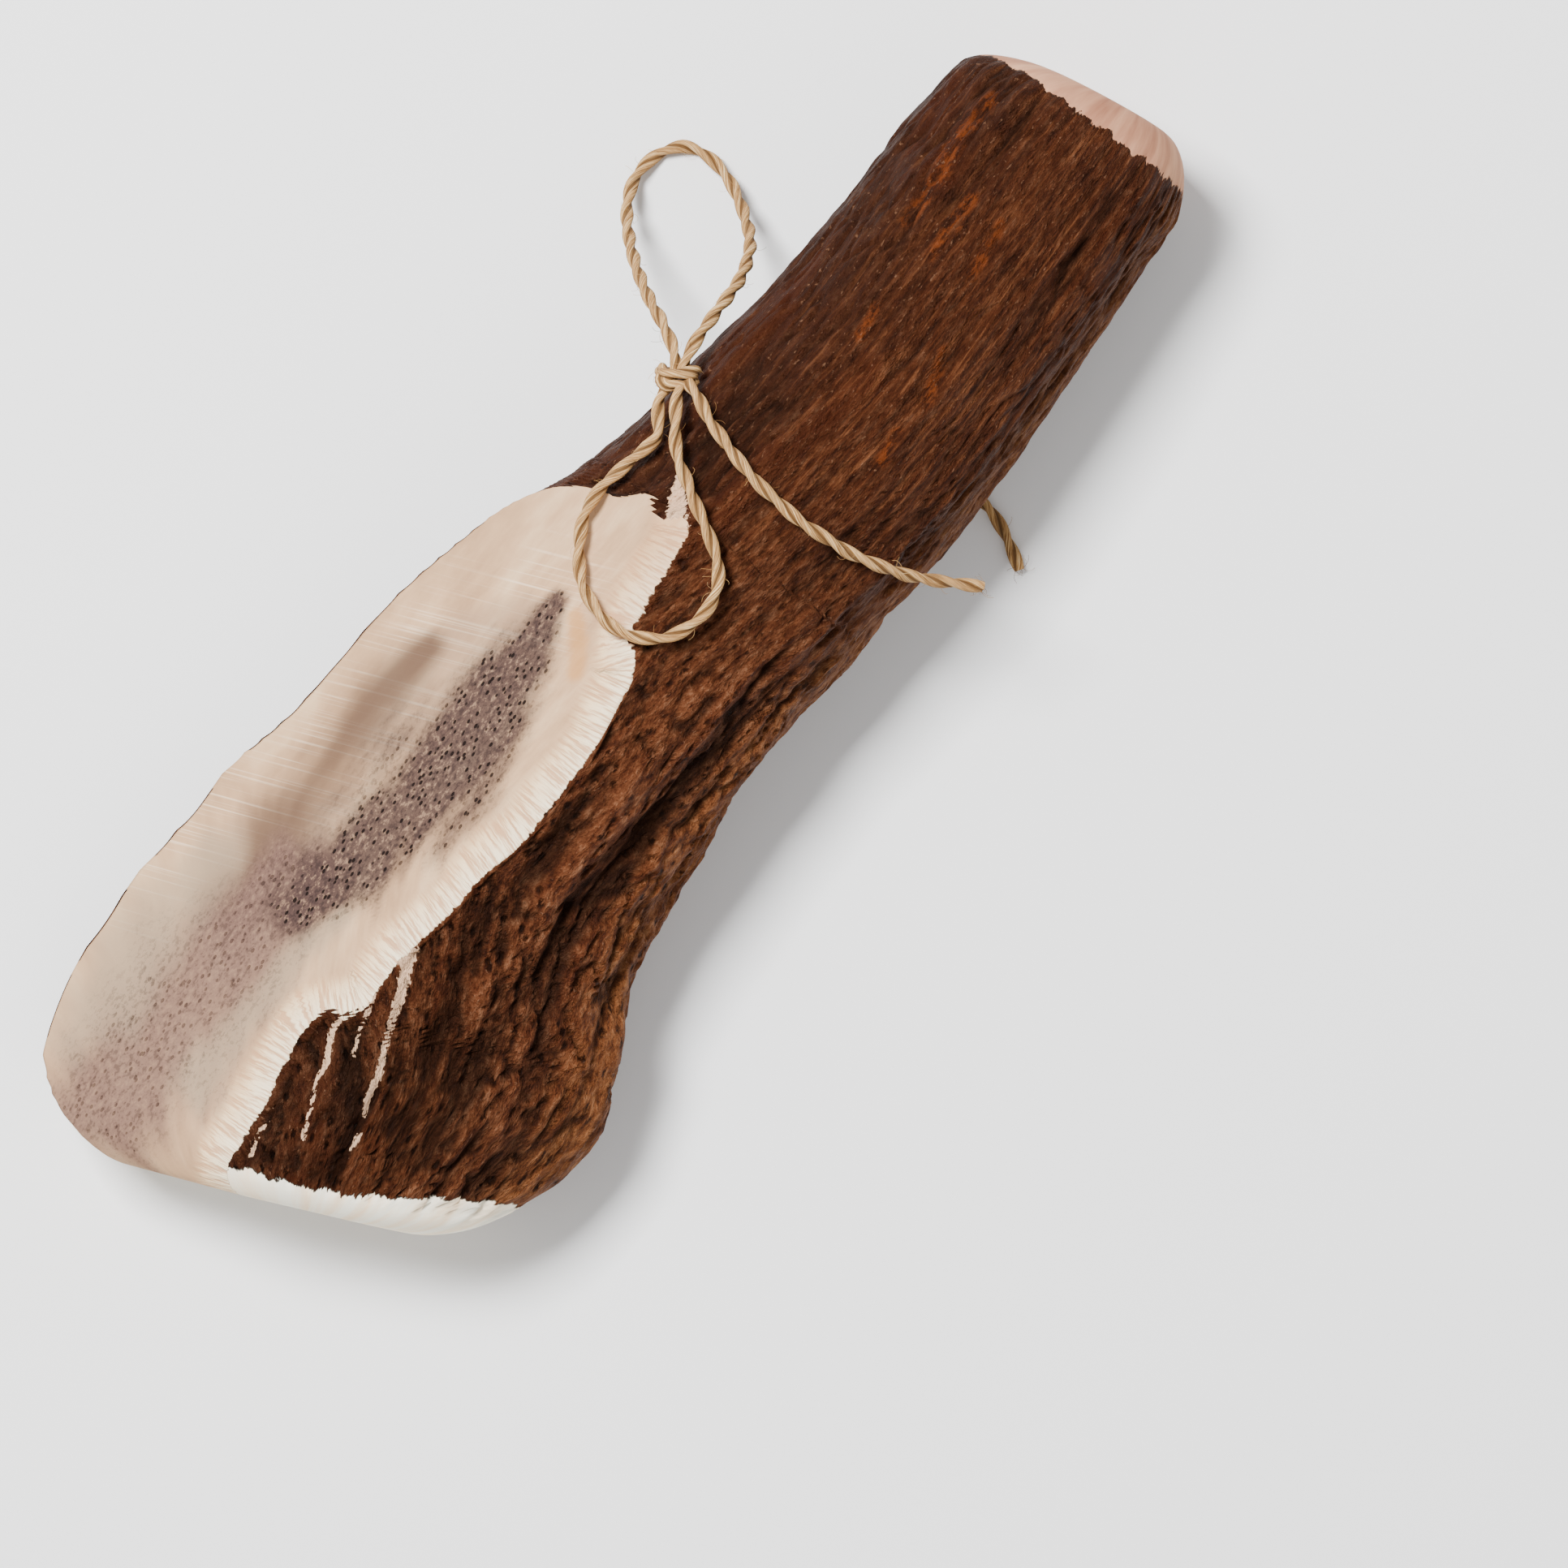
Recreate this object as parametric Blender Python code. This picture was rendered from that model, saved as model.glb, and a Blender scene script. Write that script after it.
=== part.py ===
"""Split deer antler with a jute bow.

A sawn length of beam lies on its underside along X, its flared butt end at -X.
A flat saw cut runs down its lower part and shows the marrow. The origin is on
the surface that it lies on, at the middle of the antler's own box.
"""
import math

import bmesh
import bpy
import numpy as np
from mathutils import Vector, noise

MM = 0.001

# Sections of the whole beam before it was split, from the butt to the upper end, in millimetres:
# right side x and y, left side x and y, height of the widest line, of the crown, of the underside
BEAM_SECTIONS = (
    (-72.9, -26.6, -91.4, 18.4, 17.0, 29.0, 0.8),
    (-66.0, -29.5, -87.8, 25.5, 16.0, 28.4, 0.2),
    (-60.0, -31.8, -85.0, 29.8, 15.0, 28.0, 0.0),
    (-51.9, -32.8, -79.6, 32.2, 14.0, 28.4, 0.0),
    (-44.4, -30.4, -71.1, 33.6, 13.5, 30.0, 0.0),
    (-37.4, -26.8, -60.1, 33.2, 14.0, 32.6, 0.2),
    (-29.1, -23.8, -47.1, 31.5, 14.5, 35.0, 0.6),
    (-19.6, -22.6, -34.1, 29.5, 15.0, 36.6, 1.2),
    (-9.6, -22.0, -20.1, 27.3, 16.0, 36.8, 2.0),
    (0.0, -22.4, -6.1, 25.3, 17.0, 35.8, 2.8),
    (9.9, -23.2, 7.9, 21.0, 18.0, 34.8, 3.5),
    (20.9, -23.8, 20.9, 16.2, 18.0, 34.8, 4.0),
    (30.9, -24.7, 32.9, 14.2, 18.0, 35.0, 4.2),
    (41.9, -25.2, 44.9, 12.4, 18.0, 35.0, 4.0),
    (52.9, -25.0, 55.9, 11.4, 17.5, 34.5, 1.8),
    (63.9, -24.8, 66.4, 11.0, 16.8, 33.6, 0.0),
    (72.9, -24.4, 74.9, 10.4, 16.2, 32.6, -1.0),
    (80.5, -24.0, 81.5, 9.6, 16.0, 32.0, -1.3),
    (89.8, -22.2, 85.8, 7.0, 16.0, 31.0, -0.9),
)
CROWN_FULLNESS = 2.1
UNDERSIDE_FULLNESS = 2.5

# The flat split: its height over the origin, and its slopes along and across the beam
SPLIT_HEIGHT = 34.9
SPLIT_SLOPE_X = 0.06
SPLIT_SLOPE_Y = -0.65

# Edges that were ground round after sawing
BUTT_GRIND_RADIUS = 6.5
TIP_GRIND_RADIUS = 7.0

# Bark: depth and spacing of its long flutes and of its lumps, at the butt
FLUTE_DEPTH = 1.9
FLUTE_LENGTH = 55.0
FLUTES_ACROSS_RADIUS = 4.2
LUMP_DEPTH = 1.3
LUMP_LENGTH = 11.0
LUMPS_ACROSS_RADIUS = 3.0
SMOOTH_BARK_SHARE = 0.4
SMOOTH_FROM, SMOOTH_TO = 60.0, 120.0

# The hollow on the shoulder just past the split: place along the beam, angle, reach and depth
HOLLOW_PLACE, HOLLOW_LENGTH = 99.0, 8.0
HOLLOW_ANGLE, HOLLOW_SPREAD = math.radians(35.0), math.radians(17.0)
HOLLOW_DEPTH = 2.6

# Lumps under the beam lower than the first height are worn level with the surface that it
# lies on; those above the second keep their shape
WORN_BELOW, WHOLE_ABOVE = 1.4, 2.6

# Jute twine: one length, tied in a bow on the shoulder
TWINE_DIAMETER = 2.0
KNOT_MIDDLE = (29.7, 14.1, 29.9)
KNOT_RADII = (2.4, 2.4, 2.2)

# The twine's stretches, as the points that each passes through
TOP_LOOP = (
    (31.9, 16.6, 28.6), (33.4, 18.9, 26.6), (35.3, 22.7, 22.0), (37.6, 26.4, 16.2),
    (40.5, 29.9, 10.2), (43.6, 32.5, 5.4), (46.9, 33.9, 2.4), (49.8, 33.9, 1.3),
    (52.3, 32.9, 1.1), (54.0, 31.4, 1.1), (54.7, 28.6, 1.2), (54.2, 25.4, 2.0),
    (52.7, 22.2, 4.2), (50.8, 19.5, 7.6), (49.0, 17.5, 11.4), (46.2, 16.0, 16.0),
    (43.3, 15.3, 20.2), (40.1, 15.2, 24.0), (36.8, 15.1, 27.2), (33.6, 14.9, 29.4),
)
LOWER_LOOP = (
    (26.0, 14.4, 29.3), (24.0, 13.2, 29.7), (22.1, 11.9, 30.2), (20.2, 12.2, 30.0),
    (18.4, 12.7, 29.7), (16.1, 13.2, 29.7), (13.7, 13.7, 29.9), (11.4, 13.8, 30.2),
    (8.9, 13.4, 30.3), (6.6, 12.3, 30.9), (4.4, 10.8, 31.7), (2.4, 9.0, 32.8),
    (1.0, 6.4, 34.4), (0.2, 3.6, 36.1), (0.4, 0.5, 38.0), (1.3, -1.5, 38.7),
    (2.6, -3.3, 38.9), (4.6, -4.6, 38.8), (7.1, -5.4, 38.7), (9.4, -5.5, 38.7),
    (11.5, -4.9, 38.4), (13.6, -3.5, 37.8), (15.2, -1.5, 37.6), (16.7, 0.8, 37.8),
    (18.1, 3.2, 37.0), (19.5, 5.3, 35.7), (20.8, 7.4, 34.5), (22.3, 9.2, 33.5),
    (24.4, 10.8, 32.9), (26.4, 12.2, 32.2),
)
TAIL = (
    (29.0, 10.9, 32.2), (27.6, 8.4, 33.7), (26.4, 5.0, 35.6), (25.3, 1.6, 37.5),
    (24.5, -1.8, 38.1), (24.1, -5.3, 37.9), (23.8, -8.7, 37.7), (24.0, -11.9, 36.9),
    (24.3, -15.5, 35.3), (25.2, -19.3, 33.6), (26.4, -22.9, 30.9), (28.2, -26.5, 28.7),
    (29.6, -29.0, 27.5), (30.7, -31.0, 26.8),
)
UNDER_STRAND = (
    (29.3, 16.2, 26.6), (29.0, 16.4, 23.4), (29.0, 16.3, 19.0), (29.2, 15.9, 14.5),
    (29.6, 14.6, 10.0), (30.2, 12.3, 6.4), (31.0, 9.0, 3.6), (32.0, 5.2, 2.0),
    (33.4, 0.4, 1.3), (34.8, -4.6, 1.1), (36.2, -9.8, 1.1), (37.8, -15.0, 1.1),
    (39.4, -20.5, 1.1), (39.9, -25.3, 1.1), (38.9, -28.4, 1.1), (37.4, -31.2, 1.1),
    (35.8, -33.6, 1.1),
)
TWINE_POINT_STEP = 4.5

# How finely the solid is faceted
STATION_STEP = 3.2
BARK_SIDES = 58
SPLIT_SIDES = 16
CAP_STEPS = 3


def clear_scene():
    """Removes whatever the file opened with."""
    for item in list(bpy.data.objects):
        bpy.data.objects.remove(item, do_unlink=True)


def new_material(name, colour, roughness):
    """A plain finish for one sub-part."""
    material = bpy.data.materials.new(name)
    material.use_nodes = True
    shader = material.node_tree.nodes["Principled BSDF"]
    shader.inputs["Base Color"].default_value = (*colour, 1.0)
    shader.inputs["Roughness"].default_value = roughness
    shader.inputs["Metallic"].default_value = 0.0
    return material


def smoothstep(low, high, value):
    """Eases from 0 at low to 1 at high."""
    share = min(max((value - low) / (high - low), 0.0), 1.0)
    return share * share * (3.0 - 2.0 * share)


def curve_through(knots, rows, at):
    """The row at one place of a smooth curve through rows that stand at the knots."""
    tangents = np.gradient(rows, knots, axis=0)
    index = min(max(int(np.searchsorted(knots, at)) - 1, 0), len(knots) - 2)
    width = knots[index + 1] - knots[index]
    share = (at - knots[index]) / width
    start, end = rows[index], rows[index + 1]
    leave, arrive = tangents[index] * width, tangents[index + 1] * width
    rise = share * share * (3.0 - 2.0 * share)
    return (start + (end - start) * rise + leave * share * (1.0 - share) ** 2
            - arrive * share * share * (1.0 - share))


def section_distances():
    """How far along the beam each given section's middle is."""
    rows = np.array(BEAM_SECTIONS)
    middles = (rows[:, 0:2] + rows[:, 2:4]) / 2.0
    steps = np.linalg.norm(np.diff(middles, axis=0), axis=1)
    return np.concatenate(([0.0], np.cumsum(steps)))


def grind_inset(distance, radius):
    """How far a ground edge draws in, at a distance from its end face."""
    if distance >= radius:
        return 0.0
    return radius - math.sqrt(radius ** 2 - (radius - distance) ** 2)


def station_distances(length):
    """Where the rings stand: close together on the ground edges, and evenly between them."""
    turns = [math.radians(90.0 * step / CAP_STEPS) for step in range(CAP_STEPS)]
    butt = [BUTT_GRIND_RADIUS * (1.0 - math.cos(turn)) for turn in turns]
    tip = [length - TIP_GRIND_RADIUS * (1.0 - math.cos(turn)) for turn in turns]
    count = round((length - BUTT_GRIND_RADIUS - TIP_GRIND_RADIUS) / STATION_STEP)
    middle = np.linspace(BUTT_GRIND_RADIUS, length - TIP_GRIND_RADIUS, count + 1)
    return butt + list(middle) + tip[::-1]


def bark_relief(distance, angle):
    """Height of the bark's flutes and lumps over the plain section, in millimetres."""
    rough = 1.0 - (1.0 - SMOOTH_BARK_SHARE) * smoothstep(SMOOTH_FROM, SMOOTH_TO, distance)
    away = ((distance - HOLLOW_PLACE) / HOLLOW_LENGTH, (angle - HOLLOW_ANGLE) / HOLLOW_SPREAD)
    hollow = HOLLOW_DEPTH * math.exp(-0.5 * (away[0] ** 2 + away[1] ** 2))
    around, up = math.cos(angle), math.sin(angle)
    flute = noise.noise(Vector((distance / FLUTE_LENGTH, around * FLUTES_ACROSS_RADIUS,
                                up * FLUTES_ACROSS_RADIUS)))
    lump = noise.noise(Vector((distance / LUMP_LENGTH, around * LUMPS_ACROSS_RADIUS,
                               up * LUMPS_ACROSS_RADIUS + 20.0)))
    return rough * (FLUTE_DEPTH * flute + LUMP_DEPTH * lump) - hollow


class Section:
    """One cut across the beam, seen from a point inside what the split leaves."""

    SAMPLES = 360

    def __init__(self, row, distance, length):
        right, left = row[0:2], row[2:4]
        self.half_width = np.linalg.norm(left - right) / 2.0
        self.across = (left - right) / (2.0 * self.half_width)
        self.widest, self.crown, self.under = row[4:7]
        middle = (right + left) / 2.0
        inward = 0.2 * self.half_width
        self.eye = np.array((*(middle - inward * self.across), self.widest - 4.0))
        butt_inset = grind_inset(distance, BUTT_GRIND_RADIUS)
        tip_inset = grind_inset(length - distance, TIP_GRIND_RADIUS)
        self.inset = butt_inset + tip_inset
        calm = smoothstep(0.0, 2.0 * BUTT_GRIND_RADIUS, min(distance, length - distance))
        self.angles = np.linspace(-0.5 * math.pi, 1.5 * math.pi, self.SAMPLES + 1)
        self.bark = self.bark_radii(inward, distance, calm) - self.inset
        self.split = self.split_radii() - self.inset

    def bark_radii(self, inward, distance, calm):
        """Distance from the eye to the bark, for every angle."""
        turns = np.linspace(0.0, 2.0 * math.pi, 4 * self.SAMPLES)
        fullness = np.where(np.sin(turns) > 0.0, CROWN_FULLNESS, UNDERSIDE_FULLNESS)
        side = np.sign(np.cos(turns)) * np.abs(np.cos(turns)) ** (2.0 / fullness)
        rise = np.sign(np.sin(turns)) * np.abs(np.sin(turns)) ** (2.0 / fullness)
        height = np.where(rise > 0.0, self.crown - self.widest, self.widest - self.under)
        sideways = side * self.half_width + inward
        upward = rise * height + 4.0
        directions = np.unwrap(np.arctan2(upward, sideways))
        radii = np.interp(self.angles, directions, np.hypot(sideways, upward), period=2.0 * math.pi)
        relief = [bark_relief(distance, angle) for angle in self.angles]
        return radii + calm * np.array(relief)

    def split_radii(self):
        """Distance from the eye to the split plane, for every angle."""
        slope = SPLIT_SLOPE_X * self.across[0] + SPLIT_SLOPE_Y * self.across[1]
        facing = np.sin(self.angles) - np.cos(self.angles) * slope
        plane = SPLIT_HEIGHT + SPLIT_SLOPE_X * self.eye[0] + SPLIT_SLOPE_Y * self.eye[1]
        room = plane - self.eye[2]
        return np.where(facing > 0.02, room / np.maximum(facing, 0.02), 1000.0)

    def window(self):
        """The angles between which the split has taken the bark away, or None."""
        cut = np.nonzero(self.split < self.bark)[0]
        if len(cut) < 4:
            return None
        return self.angles[cut[0]], self.angles[cut[-1]]

    def points(self, window):
        """The ring's points: first those across the window, then those round the bark."""
        start, end = window
        outline = np.minimum(self.bark, self.split)
        across = spaced_angles(self.angles, outline, start, end, SPLIT_SIDES)
        around = spaced_angles(self.angles, outline, end, start + 2.0 * math.pi, BARK_SIDES)
        ring = []
        for angle in np.concatenate((across, around)):
            reach = np.interp(angle, self.angles, outline, period=2.0 * math.pi)
            flat = self.eye[0:2] + reach * math.cos(angle) * self.across
            ring.append((flat[0], flat[1], self.eye[2] + reach * math.sin(angle)))
        return ring


def spaced_angles(angles, outline, start, end, count):
    """Angles from start up to end that stand evenly along the outline, without end itself."""
    turn = np.linspace(start, end, 400)
    reach = np.interp(turn, angles, outline, period=2.0 * math.pi)
    steps = np.hypot(np.diff(reach * np.cos(turn)), np.diff(reach * np.sin(turn)))
    run = np.concatenate(([0.0], np.cumsum(steps)))
    return np.interp(np.linspace(0.0, run[-1], count + 1)[:-1], run, turn)


def split_windows(sections, distances):
    """One window for each ring; past the split it opens again over whole bark."""
    windows = [section.window() for section in sections]
    last = max(index for index, window in enumerate(windows) if window is not None)
    middle = sum(windows[last]) / 2.0
    for index in range(last + 1, len(windows)):
        half = 0.1 + 0.4 * smoothstep(0.0, 25.0, distances[index] - distances[last])
        windows[index] = (middle - half, middle + half)
    return windows


def build_antler(collection):
    """The beam: rings of points joined side by side, with a flat face at each end."""
    knots = section_distances()
    rows = np.array(BEAM_SECTIONS)
    distances = station_distances(knots[-1])
    sections = [Section(curve_through(knots, rows, at), at, knots[-1]) for at in distances]
    windows = split_windows(sections, distances)
    shape = bmesh.new()
    rings = []
    for section, window in zip(sections, windows):
        rings.append([shape.verts.new(Vector(point) * MM) for point in section.points(window)])
    sides = BARK_SIDES + SPLIT_SIDES
    for here, ahead in zip(rings, rings[1:]):
        for side in range(sides):
            after = (side + 1) % sides
            shape.faces.new((here[side], here[after], ahead[after], ahead[side]))
    shape.faces.new(rings[0])
    shape.faces.new(rings[-1][::-1])
    bmesh.ops.triangulate(shape, faces=shape.faces[:])
    bmesh.ops.recalc_face_normals(shape, faces=shape.faces[:])
    corners = np.array([vert.co for vert in shape.verts])
    middle = (corners.min(axis=0) + corners.max(axis=0)) / 2.0
    settle = Vector((-middle[0], -middle[1], -corners[:, 2].min()))
    bmesh.ops.translate(shape, verts=shape.verts[:], vec=settle)
    for vert in shape.verts:
        vert.co.z *= smoothstep(WORN_BELOW * MM, WHOLE_ABOVE * MM, vert.co.z)
    mesh = bpy.data.meshes.new("antler")
    shape.to_mesh(mesh)
    shape.free()
    antler = bpy.data.objects.new("antler", mesh)
    mesh.materials.append(new_material("antler bark", (0.11, 0.05, 0.03), 0.6))
    collection.objects.link(antler)
    return antler


def smooth_route(points):
    """Evenly spaced points, two or three diameters apart, on a smooth curve through a route."""
    rows = np.array(points)
    steps = np.linalg.norm(np.diff(rows, axis=0), axis=1)
    knots = np.concatenate(([0.0], np.cumsum(steps)))
    count = round(knots[-1] / TWINE_POINT_STEP)
    return [curve_through(knots, rows, at) for at in np.linspace(0.0, knots[-1], count + 1)]


def build_strand(name, points, finish, collection):
    """One stretch of twine, as a plain round tube."""
    curve = bpy.data.curves.new(name, "CURVE")
    curve.dimensions = "3D"
    curve.bevel_depth = 0.5 * TWINE_DIAMETER * MM
    curve.bevel_resolution = 2
    curve.use_fill_caps = True
    spline = curve.splines.new("POLY")
    route = smooth_route(points)
    spline.points.add(len(route) - 1)
    for place, point in zip(spline.points, route):
        place.co = (*(Vector(point) * MM), 1.0)
    curve.materials.append(finish)
    collection.objects.link(bpy.data.objects.new(name, curve))


def build_knot(finish, collection):
    """The knot's wraps, as one rounded lump."""
    shape = bmesh.new()
    bmesh.ops.create_uvsphere(shape, u_segments=16, v_segments=9, radius=1.0)
    bmesh.ops.scale(shape, verts=shape.verts[:], vec=Vector(KNOT_RADII) * MM)
    mesh = bpy.data.meshes.new("twine_knot")
    shape.to_mesh(mesh)
    shape.free()
    mesh.materials.append(finish)
    knot = bpy.data.objects.new("twine_knot", mesh)
    knot.location = Vector(KNOT_MIDDLE) * MM
    collection.objects.link(knot)


def build_twine(collection):
    """The knot and the four stretches that leave it."""
    finish = new_material("jute", (0.58, 0.42, 0.24), 0.9)
    build_knot(finish, collection)
    build_strand("twine_top_loop", TOP_LOOP, finish, collection)
    build_strand("twine_lower_loop", LOWER_LOOP, finish, collection)
    build_strand("twine_tail", TAIL, finish, collection)
    build_strand("twine_under_strand", UNDER_STRAND, finish, collection)


clear_scene()
model = bpy.data.collections.new("split deer antler")
bpy.context.scene.collection.children.link(model)
build_antler(model)
build_twine(model)
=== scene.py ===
import math

import bpy
import numpy as np
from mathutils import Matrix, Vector, kdtree, noise


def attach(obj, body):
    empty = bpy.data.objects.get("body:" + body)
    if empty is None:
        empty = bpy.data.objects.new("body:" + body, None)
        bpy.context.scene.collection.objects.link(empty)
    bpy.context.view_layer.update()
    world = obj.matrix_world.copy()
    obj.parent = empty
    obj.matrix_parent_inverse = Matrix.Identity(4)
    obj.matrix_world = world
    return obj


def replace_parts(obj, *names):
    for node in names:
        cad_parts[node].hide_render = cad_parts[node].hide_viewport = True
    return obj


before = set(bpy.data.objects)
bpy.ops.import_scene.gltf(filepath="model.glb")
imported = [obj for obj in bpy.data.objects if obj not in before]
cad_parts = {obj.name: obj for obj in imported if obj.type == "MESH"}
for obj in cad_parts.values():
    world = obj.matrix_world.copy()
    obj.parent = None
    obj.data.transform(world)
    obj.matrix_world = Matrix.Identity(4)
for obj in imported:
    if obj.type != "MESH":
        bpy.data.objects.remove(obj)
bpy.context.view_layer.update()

# Camera
# It looks straight down, as the photograph does, from far enough that nothing leans.
# The antler's own X runs at 54 degrees to the picture's bottom edge.
MM = 0.001
PICTURE_WIDTH = 193.2 * MM
BEAM_TURN = math.radians(54.0)
CAMERA_HEIGHT = 1.25
SHARP_HEIGHT = 18.0 * MM
SENSOR_WIDTH = 36.0
FARTHEST_SEEN = 20.0
PICTURE_MIDDLE = (-3.1 * MM, -25.5 * MM)


def in_scene(name, data):
    """A new object that stands in the scene."""
    made = bpy.data.objects.new(name, data)
    bpy.context.scene.collection.objects.link(made)
    return made


camera = in_scene("camera", bpy.data.cameras.new("camera"))
camera.data.sensor_width = SENSOR_WIDTH
camera.data.lens = SENSOR_WIDTH * (CAMERA_HEIGHT - SHARP_HEIGHT) / PICTURE_WIDTH
camera.data.clip_end = FARTHEST_SEEN
camera.location = (*PICTURE_MIDDLE, CAMERA_HEIGHT)
camera.rotation_euler = (0.0, 0.0, -BEAM_TURN)
bpy.context.scene.camera = camera


# Jute twine
# One length of 2-ply jute, tied round the beam in a bow: loose tan plies, laid up with a long
# twist, with hairs that stand off. Its stretches meet in a knot of two tight wraps.
TWINE_RADIUS = 0.86
PLY_SHARE = 0.61
TWIST_LENGTH = 9.0
TWINE_STEP = 0.4
TWINE_SIDES = 26
TABLE_GAP = 0.02

# Hairs: a hair's root, bow and tip are given along the twine and off it, in hair lengths
HAIRS_PER_SQUARE_CM = 11.0
HAIR_LENGTH = 1.5
HAIR_RADIUS = 0.02
HAIR_SIZES = (0.5, 1.25)
HAIR_BOW = ((0.0, -0.06), (0.45, 0.5), (1.0, 0.22))
HAIR_STEPS, HAIR_SIDES = 5, 3
ROOT_SEED, SIZE_SEED, TURN_SEED = 7, 3, 5
FRAY_LENGTH = 1.3
FRAY_TIMES = 16.0
FRAY_NOWHERE = 1000.0

# The routes, in millimetres, as the solids have them; each runs on a little into the knot
TOP_LOOP = (
    (30.1, 14.7, 29.5), (31.9, 16.6, 28.6), (33.4, 18.9, 26.6), (35.3, 22.7, 22.0),
    (37.6, 26.4, 16.2), (40.5, 29.9, 10.2), (43.6, 32.5, 5.4), (46.9, 33.9, 2.4), (49.8, 33.9, 1.3),
    (52.3, 32.9, 1.1), (54.0, 31.4, 1.1), (54.7, 28.6, 1.2), (54.2, 25.4, 2.0),
    (52.7, 22.2, 4.2), (50.8, 19.5, 7.6), (49.0, 17.5, 11.4), (46.2, 16.0, 16.0),
    (43.3, 15.3, 20.2), (40.1, 15.2, 24.0), (36.8, 15.1, 27.2), (33.6, 14.9, 29.4),
    (31.2, 14.4, 30.2), (30.0, 13.9, 30.0),
)
LOWER_LOOP = (
    (28.6, 14.6, 29.4), (26.0, 14.4, 29.3), (24.0, 13.2, 29.7), (22.1, 11.9, 30.2),
    (20.2, 12.2, 30.0), (18.4, 12.7, 29.7), (16.1, 13.2, 29.7), (13.7, 13.7, 29.9),
    (11.4, 13.8, 30.2), (8.9, 13.4, 30.3), (6.6, 12.3, 30.9), (4.4, 10.8, 31.7),
    (2.4, 9.0, 32.8), (1.0, 6.4, 34.4), (0.2, 3.6, 36.1), (0.4, 0.5, 38.0),
    (1.3, -1.5, 38.7), (2.6, -3.3, 38.9), (4.6, -4.6, 38.8), (7.1, -5.4, 38.7),
    (9.4, -5.5, 38.7), (11.5, -4.9, 38.4), (13.6, -3.5, 37.8), (15.2, -1.5, 37.6),
    (16.7, 0.8, 37.8), (18.1, 3.2, 37.0), (19.5, 5.3, 35.7), (20.8, 7.4, 34.5),
    (22.3, 9.2, 33.5), (24.4, 10.8, 32.9), (26.4, 12.2, 32.2), (28.4, 13.2, 31.0),
)
TAIL = (
    (29.6, 13.0, 30.8), (29.0, 10.9, 32.2), (27.6, 8.4, 33.7), (26.4, 5.0, 35.6),
    (25.3, 1.6, 37.5), (24.5, -1.8, 38.1), (24.1, -5.3, 37.9), (23.8, -8.7, 37.7),
    (24.0, -11.9, 36.9), (24.3, -15.5, 35.3), (25.2, -19.3, 33.6), (26.4, -22.9, 30.9),
    (28.2, -26.5, 28.7), (29.6, -29.0, 27.5), (30.7, -31.0, 26.8),
)
UNDER_STRAND = (
    (29.4, 15.0, 29.0), (29.3, 16.2, 26.6), (29.0, 16.4, 23.4), (29.0, 16.3, 19.0),
    (29.2, 15.9, 14.5), (29.6, 14.6, 10.0), (30.2, 12.3, 6.4), (31.0, 9.0, 3.6),
    (32.0, 5.2, 2.0), (33.4, 0.4, 1.3), (34.8, -4.6, 1.1), (36.2, -9.8, 1.1),
    (37.8, -15.0, 1.1), (39.4, -20.5, 1.1), (39.9, -25.3, 1.1), (38.9, -28.4, 1.1),
    (37.4, -31.2, 1.1), (35.8, -33.6, 1.1),
)

# The knot's two wraps, from its middle, as right, up and high in the camera's picture
KNOT_MIDDLE = (29.7, 14.1, 29.9)
TIGHT_WRAP_REACH, TIGHT_WRAP_HEIGHT = 2.0, 1.35
TIGHT_WRAP_UP, TIGHT_WRAP_LEAN = 0.25, 0.15
TIGHT_WRAP_ENDS = math.radians(100.0)
TIGHT_WRAP_POINTS = 15
LOCKING_WRAP = (
    (-1.9, 0.3, -0.6), (-2.2, -0.5, 0.2), (-1.6, -1.2, 0.7), (-0.3, -1.1, 0.9),
    (1.2, -0.9, 0.3), (1.9, -0.3, -0.4),
)


def curve_through(knots, rows, at):
    """The row at one place of a smooth curve through rows that stand at the knots."""
    tangents = np.gradient(rows, knots, axis=0)
    index = min(max(int(np.searchsorted(knots, at)) - 1, 0), len(knots) - 2)
    width = knots[index + 1] - knots[index]
    share = (at - knots[index]) / width
    start, end = rows[index], rows[index + 1]
    leave, arrive = tangents[index] * width, tangents[index + 1] * width
    rise = share * share * (3.0 - 2.0 * share)
    return (start + (end - start) * rise + leave * share * (1.0 - share) ** 2
            - arrive * share * share * (1.0 - share))


def smooth_route(points, step):
    """Evenly spaced points on a smooth curve through a route, in millimetres."""
    rows = np.array(points)
    knots = np.concatenate(([0.0], np.cumsum(np.linalg.norm(np.diff(rows, axis=0), axis=1))))
    count = round(knots[-1] / step)
    places = np.linspace(0.0, knots[-1], count + 1)
    return np.array([curve_through(knots, rows, at) for at in places])


def linear(colour):
    """A colour given as 0 to 255 on a screen, as linear light."""
    shares = [value / 255.0 for value in colour]
    return tuple(s / 12.92 if s <= 0.04045 else ((s + 0.055) / 1.055) ** 2.4 for s in shares)


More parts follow.
